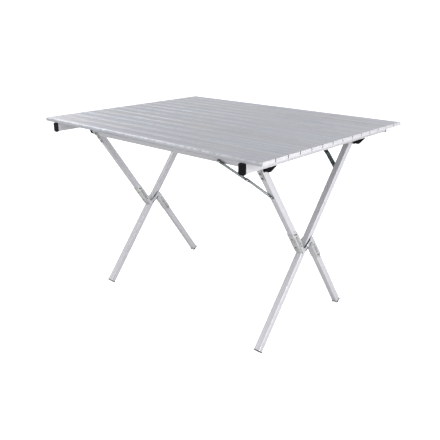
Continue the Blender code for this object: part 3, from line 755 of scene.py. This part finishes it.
def makeStrap(face, sideName):
    node = f"leg_bracket_{face}_{sideName}"
    lean = leans[face]
    x = sides[sideName] * tube["plane"]
    half = strap["width"] / 2
    top = strap["above"]
    bottom = top - strap["length"]
    level = tube["width"] / 2 + tube["gap"]
    outer = level + strap["thickness"]
    middle = (top + bottom) / 2
    piece = addBlock(f"legStrap_{face}_{sideName}", (-half, level, bottom), (half, outer, top))
    bevelEdges(piece, lambda m, d: abs(d.y) > square, strap["corner"], 6)
    insetFaces(piece, lambda m, n: n.y > square, strap["rim"])
    panel = lambda m, n: n.y > square and near(m.x, 0, 0.001) and near(m.z, middle, 0.003)
    insetFaces(piece, panel, strap["panelRim"], -strap["panelSink"])
    # the strap's side faces are painted dark steel, a painted dark reflection along its edges
    paintFaces(piece, 1, lambda m, n: abs(n.y) < 0.3)
    softenEdges(piece, strap["edge"], 2, 60)
    placePiece(piece, rails[face], xAxis, lean["out"], lean["up"])
    heads = []
    for down in strap["rivetsDown"]:
        point = leanPoint(lean, rails[face], 0, -down, outer - 0.0004)
        heads.append((rivetHead("strapRivet", strap["rivet"], strap["rivetHeight"], point, lean["out"]), 1))
    joinPainted(piece, heads)
    placePiece(piece, xAxis * x, xAxis, yAxis, zAxis)
    showPiece(piece, [zincSteel, darkSteelAndPaintedShade], "zinc_steel", railBody[face], node)


for sideName in sides:
    for face in rails:
        makeStrap(face, sideName)
print("leg straps ready")

# plugs in the feet
foot = {
    "thickness": 0.0035, "lift": 0.0022, "lip": 0.0008, "edge": 0.0010, "rim": 0.0035, "ribWide": 0.0006,
    "rib": 0.0005, "stem": 0.012,
}


def makeFoot(node, body, lean, sideName):
    half = tube["width"] / 2 + foot["lip"]
    across = sides[sideName] * tube["plane"]
    footMiddle = footCentre(node, lean)
    piece = addBlock(f"{node}_cap", (-half, -half, 0), (half, half, foot["thickness"]))
    bevelEdges(piece, lambda m, d: abs(d.z) > square, 0.0024, 4)
    bevelEdges(piece, lambda m, d: near(m.z, 0), foot["edge"], 3)
    insetFaces(piece, lambda m, n: n.z < -square and near(m.z, 0, 1e-4), foot["rim"])
    panel = lambda m, n: n.z < -square and near(m.x, 0, 0.001) and near(m.y, 0, 0.001)
    insetFaces(piece, panel, foot["ribWide"], -foot["rib"])
    stemHalf = tube["width"] / 2 - tube["wall"] - 2 * tube["gap"]
    stem = addBlock(
        "footStem", (-stemHalf, -stemHalf, foot["thickness"] - 0.0004),
        (stemHalf, stemHalf, foot["thickness"] + foot["stem"]))
    softenEdges(stem, 0.0006, 2)
    joinPieces(piece, [stem])
    # raised a little so that the wider plate wraps the tube's end and stays off the floor
    origin = Vector((across, footMiddle.y, footMiddle.z)) + lean["up"] * foot["lift"]
    placePiece(piece, origin, xAxis, lean["out"], lean["up"])
    showPiece(piece, [footPlastic], "foot_plastic", body, node)


def footCentre(node, lean):
    # the middle of the plate's outer face, which is the part furthest down along the leg
    points = [vertex.co for vertex in nodes[node].data.vertices]
    least = min(point.dot(lean["up"]) for point in points)
    face = [point for point in points if point.dot(lean["up"]) < least + 1e-4]
    return sum(face, Vector((0, 0, 0))) / len(face)


for sideName in sides:
    # the undivided leg leans back at its top, so its foot is the front one
    makeFoot(f"foot_front_{sideName}", "back_frame", leans["back"], sideName)
    makeFoot(f"foot_back_{sideName}", "front_frame", leans["front"], sideName)
print("feet ready")

# folded sleeves round both halves of each split leg, pointed at the far end
sleeve = {
    "start": 0.005, "length": 0.104, "wall": 0.0014, "point": 0.013, "edge": 0.0004, "bend": 0.0012,
    "slotFrom": 0.030, "slotTo": 0.079, "slotHalf": 0.0017, "slotRise": 0.0009, "border": 0.0018,
    "borderRise": 0.0003, "rivet": 0.0032, "rivetHeight": 0.0013, "backRivets": (0.030, 0.075),
    "sideRivets": ((0.0885, -0.003), (0.0940, 0.0025), (0.0225, 0.0)),
}


def makeSleeve(name):
    # local Z runs away from the pivot along the half leg, local Y away from the straight leg
    half = tube["width"] / 2 + tube["gap"] + sleeve["wall"]
    inner = tube["besideLeg"] - tube["width"] / 2
    outer = tube["besideLeg"] + half
    middle = (inner + outer) / 2
    shoulder = sleeve["start"] + sleeve["length"] - sleeve["point"]
    piece = addBlock(name, (-half, inner, sleeve["start"]), (half, outer, shoulder))
    pickFaces(piece, lambda m, n: abs(n.z) > square or n.y < -square)
    bpy.ops.mesh.delete(type="ONLY_FACE")
    objectMode()
    pickEdges(piece, lambda m, d: near(m.z, shoulder) and near(abs(m.x), half))
    bpy.ops.mesh.subdivide(number_cuts=1)
    objectMode()
    work = editMode(piece, "VERT")
    for vertex in work.verts:
        x, y, z = vertex.co
        if near(z, shoulder) and near(abs(x), half) and near(y, middle, 1e-4):
            vertex.select_set(True)
    bmesh.update_edit_mesh(piece.data)
    bpy.ops.transform.translate(value=(0, 0, sleeve["point"]))
    objectMode()
    fold = lambda m, d: near(abs(m.x), half) and near(m.y, outer) and abs(d.z) > square
    bevelEdges(piece, fold, sleeve["bend"], 4)
    choose(piece)
    wall = piece.modifiers.new("sheet", "SOLIDIFY")
    wall.thickness = sleeve["wall"]
    wall.offset = -1
    bpy.ops.object.modifier_apply(modifier=wall.name)
    softenEdges(piece, sleeve["edge"], 2, 50)
    extras = []
    for side in (-1, 1):
        bead = addBlock(
            "slotBead", (-sleeve["slotHalf"], -0.0002, sleeve["slotFrom"]),
            (sleeve["slotHalf"], sleeve["slotRise"], sleeve["slotTo"]))
        bevelEdges(bead, lambda m, d: abs(d.y) > square, sleeve["slotHalf"] * 0.95, 5)
        bevelEdges(bead, lambda m, d: near(m.y, sleeve["slotRise"]), 0.0005, 3)
        placePiece(bead, Vector((side * half, middle, 0)), yAxis, xAxis * side, zAxis)
        extras.append((bead, 2))
        # a dark steel border round each slot bead is painted shade, the shadow line round the slot
        wide = sleeve["slotHalf"] + sleeve["border"]
        border = addBlock(
            "slotShadeBorder", (-wide, -0.0002, sleeve["slotFrom"] - sleeve["border"]),
            (wide, sleeve["borderRise"], sleeve["slotTo"] + sleeve["border"]))
        bevelEdges(border, lambda m, d: abs(d.y) > square, sleeve["slotHalf"] + sleeve["border"] * 0.9, 6)
        placePiece(border, Vector((side * half, middle, 0)), yAxis, xAxis * side, zAxis)
        extras.append((border, 1))
        for along, shift in sleeve["sideRivets"]:
            point = Vector((side * (half - 0.0003), middle + shift, along))
            head = rivetHead("sleeveRivet", sleeve["rivet"], sleeve["rivetHeight"], point, xAxis * side)
            extras.append((head, 1))
    for along in sleeve["backRivets"]:
        point = Vector((0, outer - 0.0003, along))
        extras.append((rivetHead("sleeveRivet", sleeve["rivet"], sleeve["rivetHeight"], point, yAxis), 1))
    return joinPainted(piece, extras)


sleevePattern = makeSleeve("sleevePattern")
frontLean = leans["front"]
for sideName, side in sides.items():
    for half, sign in (("upper", 1), ("lower", -1)):
        piece = copyPiece(sleevePattern, f"legSleeve_{half}_{sideName}")
        origin = pivot + xAxis * side * tube["plane"]
        placePiece(piece, origin, xAxis, frontLean["out"] * sign, frontLean["up"] * sign)
        showPiece(piece, steelSlots, "zinc_steel", "front_frame", f"sleeve_{half}_{sideName}")
bpy.data.objects.remove(sleevePattern)
print("sleeves ready")

# crossing plates with rolled long edges and narrow arms onto both half legs
plate = {
    "thickness": 0.002, "width": 0.0175, "reach": 0.037, "armHalf": 0.0055, "armFlare": 0.002,
    "armTaper": 0.7, "corner": 0.0024, "lip": 0.0024, "lipRise": 0.0016, "edge": 0.0004, "rivet": 0.0028,
    "rivetHeight": 0.0013,
}


def makeCrossPlate(name):
    # local X along the bar, local Y along the split leg, local Z off the leg's face
    barHalf = plate["width"] / 2
    arm = tube["besideLeg"]
    end = arm + plate["armHalf"] + plate["armFlare"]
    piece = addBlock(name, (-end, -barHalf, 0), (end, barHalf, plate["thickness"]))
    for line in (arm - plate["armHalf"], -arm + plate["armHalf"]):
        cutAcross(piece, (line, 0, 0), (1, 0, 0))
    for sign in (-1, 1):
        pickFaces(piece, lambda m, n: n.y * sign > square and m.x * sign > arm - plate["armHalf"])
        move = (0, sign * (plate["reach"] - barHalf), 0)
        bpy.ops.mesh.extrude_region_move(TRANSFORM_OT_translate={"value": move})
        bpy.ops.transform.resize(value=(plate["armTaper"], 1, 1), center_override=(sign * arm, 0, 0))
        objectMode()
    onArm = lambda m, d: abs(d.z) > square and abs(m.x) > arm - plate["armHalf"] * 1.2
    bevelEdges(piece, onArm, plate["corner"], 4)
    top = plate["thickness"]
    insetFaces(piece, lambda m, n: n.z > square, plate["lip"])
    onBar = lambda m: abs(m.y) > barHalf - plate["lip"] and abs(m.x) < arm * 0.7
    pickFaces(piece, lambda m, n: n.z > square and onBar(m))
    bpy.ops.mesh.extrude_region_move(TRANSFORM_OT_translate={"value": (0, 0, plate["lipRise"])})
    objectMode()
    softenEdges(piece, plate["edge"], 2, 50)
    # the rolled lips and the long side faces along the bar are painted dark steel as painted shade; the
    # rest, arms included, is polished zinc
    for polygon in piece.data.polygons:
        middle = polygon.center
        takesPaintedShade = abs(polygon.normal.y) > 0.6 or middle.z > top + plate["lipRise"] * 0.3
        polygon.material_index = 1 if takesPaintedShade and abs(middle.x) < arm else 2
    extras = []
    for sign in (-1, 1):
        point = Vector((sign * arm, sign * plate["reach"] * 0.8, top - 0.0003))
        extras.append((rivetHead("plateRivet", plate["rivet"], plate["rivetHeight"], point, zAxis), 1))
    return joinPainted(piece, extras)


platePattern = makeCrossPlate("platePattern")
for sideName, side in sides.items():
    for layer, sign in (("outer", side), ("inner", -side)):
        piece = copyPiece(platePattern, f"crossPlate_{layer}_{sideName}")
        lift = tube["width"] / 2 + sleeve["wall"] + 2 * tube["gap"]
        origin = pivot + xAxis * (side * tube["plane"] + sign * lift)
        placePiece(piece, origin, frontLean["out"], frontLean["up"], xAxis * sign)
        showPiece(piece, steelSlots, "zinc_steel", "front_frame", f"cross_plate_{layer}_{sideName}")
bpy.data.objects.remove(platePattern)

# pivot pins, a headed pin through the leg and both plates
pin = {"radius": 0.004, "head": 0.0070, "rise": 0.0022}
for sideName, side in sides.items():
    low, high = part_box(f"pivot_pin_{sideName}")
    centre = pivot + xAxis * side * tube["plane"]
    clearSelection()
    length = high.x - low.x
    bpy.ops.mesh.primitive_cylinder_add(vertices=28, radius=pin["radius"], depth=length - pin["rise"])
    body = bpy.context.object
    body.name = f"pivotPin_{sideName}"
    softenEdges(body, 0.0003, 2)
    placePiece(body, centre, yAxis, zAxis, xAxis)
    heads = []
    for sign in (-1, 1):
        point = centre + xAxis * sign * (length / 2 - pin["rise"])
        heads.append((rivetHead("pinHead", pin["head"], pin["rise"], point, xAxis * sign), 2))
    joinPainted(body, heads)
    showPiece(body, steelSlots, "zinc_steel", "front_frame", f"pivot_pin_{sideName}")
print("crossings ready")

# folding braces on the right-hand side, two pressed strips and their studs
brace = {
    "onRail": 0.151, "onLeg": 0.124, "midRail": 0.067, "midLeg": 0.063, "width": 0.015,
    "thickness": 0.002, "bead": 0.0036, "beadRise": 0.0007, "darkEnd": 0.024, "stud": 0.0042,
    "rivet": 0.0030, "rise": 0.0014, "edge": 0.0004, "seat": 0.0003,
}


def bracePoint(face, pivotPair, level):
    fromLeg, down = pivotPair
    return leanPoint(leans[face], rails[face], tube["plane"] - fromLeg, -down, level)


def makeStrip(name, face, first, second, level, darkEnds):
    start = bracePoint(face, first, level)
    end = bracePoint(face, second, level)
    length = (end - start).length
    half = brace["width"] / 2
    over = length / 2 + half
    piece = addBlock(name, (-over, -half, 0), (over, half, brace["thickness"]))
    bevelEdges(piece, lambda m, d: abs(d.z) > square, half * 0.96, 7)
    rib = addBlock("stripBead", (-over + half * 2.2, -brace["bead"] / 2, brace["thickness"] - 0.0004),
                   (over - half * 2.2, brace["bead"] / 2, brace["thickness"] + brace["beadRise"]))
    bevelEdges(rib, lambda m, d: abs(d.z) > square, brace["bead"] * 0.47, 4)
    bevelEdges(rib, lambda m, d: near(m.z, brace["thickness"] + brace["beadRise"]), 0.0005, 2)
    for line in (-over + brace["darkEnd"], over - brace["darkEnd"]):
        cutAcross(piece, (line, 0, 0), (1, 0, 0))
    softenEdges(piece, brace["edge"], 2, 50)
    for polygon in piece.data.polygons:
        atStart = polygon.center.x < -over + brace["darkEnd"] and "start" in darkEnds
        atEnd = polygon.center.x > over - brace["darkEnd"] and "end" in darkEnds
        polygon.material_index = 1 if atStart or atEnd else 0
    joinPainted(piece, [(rib, 0)])
    along = (end - start).normalized()
    out = leans[face]["out"]
    return placePiece(piece, (start + end) / 2, along, out.cross(along), out)


def makeBrace(face):
    inner = tube["width"] / 2 + tube["gap"]
    outer = inner + brace["thickness"] + tube["gap"]
    top = outer + brace["thickness"]
    out = leans[face]["out"]
    legPivot = (0.0, brace["onLeg"])
    midPivot = (brace["midRail"], brace["midLeg"])
    railPivot = (brace["onRail"], 0.0)
    lower = makeStrip(f"braceLink_{face}_lower", face, legPivot, midPivot, inner, ("start",))
    upper = makeStrip(f"braceLink_{face}_upper", face, midPivot, railPivot, outer, ("start", "end"))
    bore = rivetHead("railStud", brace["stud"], 0.0016, bracePoint(face, railPivot, inner + 0.0006), out)
    point = bracePoint(face, railPivot, top - brace["seat"])
    upperRivet = rivetHead("railRivet", brace["rivet"], brace["rise"], point, out)
    joinPainted(upper, [(bore, 1), (upperRivet, 2)])
    midRivet = rivetHead("midRivet", brace["stud"], brace["rise"], bracePoint(face, midPivot, top), out)
    point = bracePoint(face, legPivot, inner + brace["thickness"] - brace["seat"])
    legRivet = rivetHead("legRivet", brace["rivet"], brace["rise"], point, out)
    joinPainted(lower, [(midRivet, 2), (legRivet, 2)])
    materials = [braceSteel[face], darkSteelAndPaintedShade, polishedSteel]
    for piece, part, slot in ((lower, "lower", "zinc_steel"), (upper, "upper", "dark_steel")):
        showPiece(piece, materials, slot, railBody[face], f"brace_{face}_{part}")


for face in rails:
    makeBrace(face)
print("braces ready")

for stand in slotStands:
    bpy.data.materials.remove(stand)

# floor, light and camera
studio = {
    "floorSize": 60.0, "floorColour": (0.62, 0.62, 0.62), "floorGlow": 0.85, "world": 1.0,
    "darkSide": 0.5, "lightSide": 1.2,
    "boxes": {
        "keySoftbox": ((-2.9, 0.1, 2.4), (0, 0, 0.5), (2.2, 2.2), 42.0),
        "rightSoftbox": ((2.4, -0.7, 0.9), (0.3, 0, 0.4), (1.6, 1.4), 54.0),
        "frontSoftbox": ((-1.6, -3.6, 1.1), (0, 0, 0.4), (6.0, 2.8), 60.0),
    },
}


def makeFloor():
    clearSelection()
    bpy.ops.mesh.primitive_plane_add(size=studio["floorSize"], location=(0, 0, cadLow.z - 0.0002))
    floor = bpy.context.object
    floor.name = "studioFloor"
    bpy.ops.object.transform_apply(location=True, rotation=True, scale=True)
    material, tree, shader, place = startMaterial("floorPaper", 0.0, 0.1)
    fibre = addNode(tree, "ShaderNodeTexNoise", {"Vector": place, "Scale": 40.0, "Detail": 4.0})
    low = tuple(value * 0.99 for value in studio["floorColour"])
    colour = mixColour(tree, fibre.outputs["Fac"], low, studio["floorColour"])
    tree.links.new(colour, shader.inputs["Base Color"])
    shader.inputs["Roughness"].default_value = 0.9
    # the paper is lifted to white where it is seen, and stays a calm grey in the metal's reflections
    glow = addNode(tree, "ShaderNodeEmission", {
        "Color": (1.0, 1.0, 1.0, 1.0), "Strength": studio["floorGlow"]})
    lifted = addNode(tree, "ShaderNodeAddShader", {0: shader.outputs[0], 1: glow.outputs[0]})
    seen = addNode(tree, "ShaderNodeLightPath").outputs["Is Camera Ray"]
    mixed = addNode(tree, "ShaderNodeMixShader", {0: seen, 1: shader.outputs[0], 2: lifted.outputs[0]})
    tree.links.new(mixed.outputs[0], tree.nodes["Material Output"].inputs["Surface"])
    floor.data.materials.append(material)


def makeWorld():
    world = bpy.data.worlds.new("studioRoom")
    bpy.context.scene.world = world
    world.use_nodes = True
    tree = world.node_tree
    background = tree.nodes["Background"]
    output = tree.nodes["World Output"]
    direction = addNode(tree, "ShaderNodeTexCoord").outputs["Generated"]
    links = {0: direction, 1: (0.62, 0.62, 0.30)}
    toBack = addNode(tree, "ShaderNodeVectorMath", links, operation="DOT_PRODUCT").outputs["Value"]
    level = addRange(tree, toBack, -0.95, 0.95, studio["darkSide"], studio["lightSide"])
    cooler = addMath(tree, "MULTIPLY", level, 1.02)
    colour = addNode(tree, "ShaderNodeCombineColor", {"Red": level, "Green": level, "Blue": cooler})
    tree.links.new(colour.outputs[0], background.inputs["Color"])
    background.inputs["Strength"].default_value = studio["world"]
    plain = addNode(tree, "ShaderNodeBackground", {"Color": (1.0, 1.0, 1.0, 1.0), "Strength": 1.05})
    seen = addNode(tree, "ShaderNodeLightPath").outputs["Is Camera Ray"]
    mixed = addNode(tree, "ShaderNodeMixShader", {0: seen, 1: background.outputs[0], 2: plain.outputs[0]})
    tree.links.new(mixed.outputs[0], output.inputs["Surface"])


def addSoftbox(name, place, aim, size, power):
    lamp = bpy.data.lights.new(name, "AREA")
    lamp.shape = "RECTANGLE"
    lamp.size, lamp.size_y = size
    lamp.energy = power
    holder = bpy.data.objects.new(name, lamp)
    bpy.context.scene.collection.objects.link(holder)
    holder.location = place
    holder.rotation_euler = (Vector(aim) - Vector(place)).to_track_quat("-Z", "Y").to_euler()


camera = {
    "place": (1.3659, -1.5072, 1.0529), "heading": 42.149, "tilt": 69.951, "lens": 45.71, "sensor": 36.0,
}


def makeCamera():
    lens = bpy.data.cameras.new("studioCamera")
    lens.lens = camera["lens"]
    lens.sensor_width = camera["sensor"]
    holder = bpy.data.objects.new("studioCamera", lens)
    bpy.context.scene.collection.objects.link(holder)
    holder.location = camera["place"]
    holder.rotation_euler = (math.radians(camera["tilt"]), 0.0, math.radians(camera["heading"]))
    bpy.context.scene.camera = holder


makeFloor()
makeWorld()
for name, (place, aim, size, power) in studio["boxes"].items():
    addSoftbox(name, place, aim, size, power)
makeCamera()
bpy.context.scene.view_settings.view_transform = "Standard"
print("studio ready")
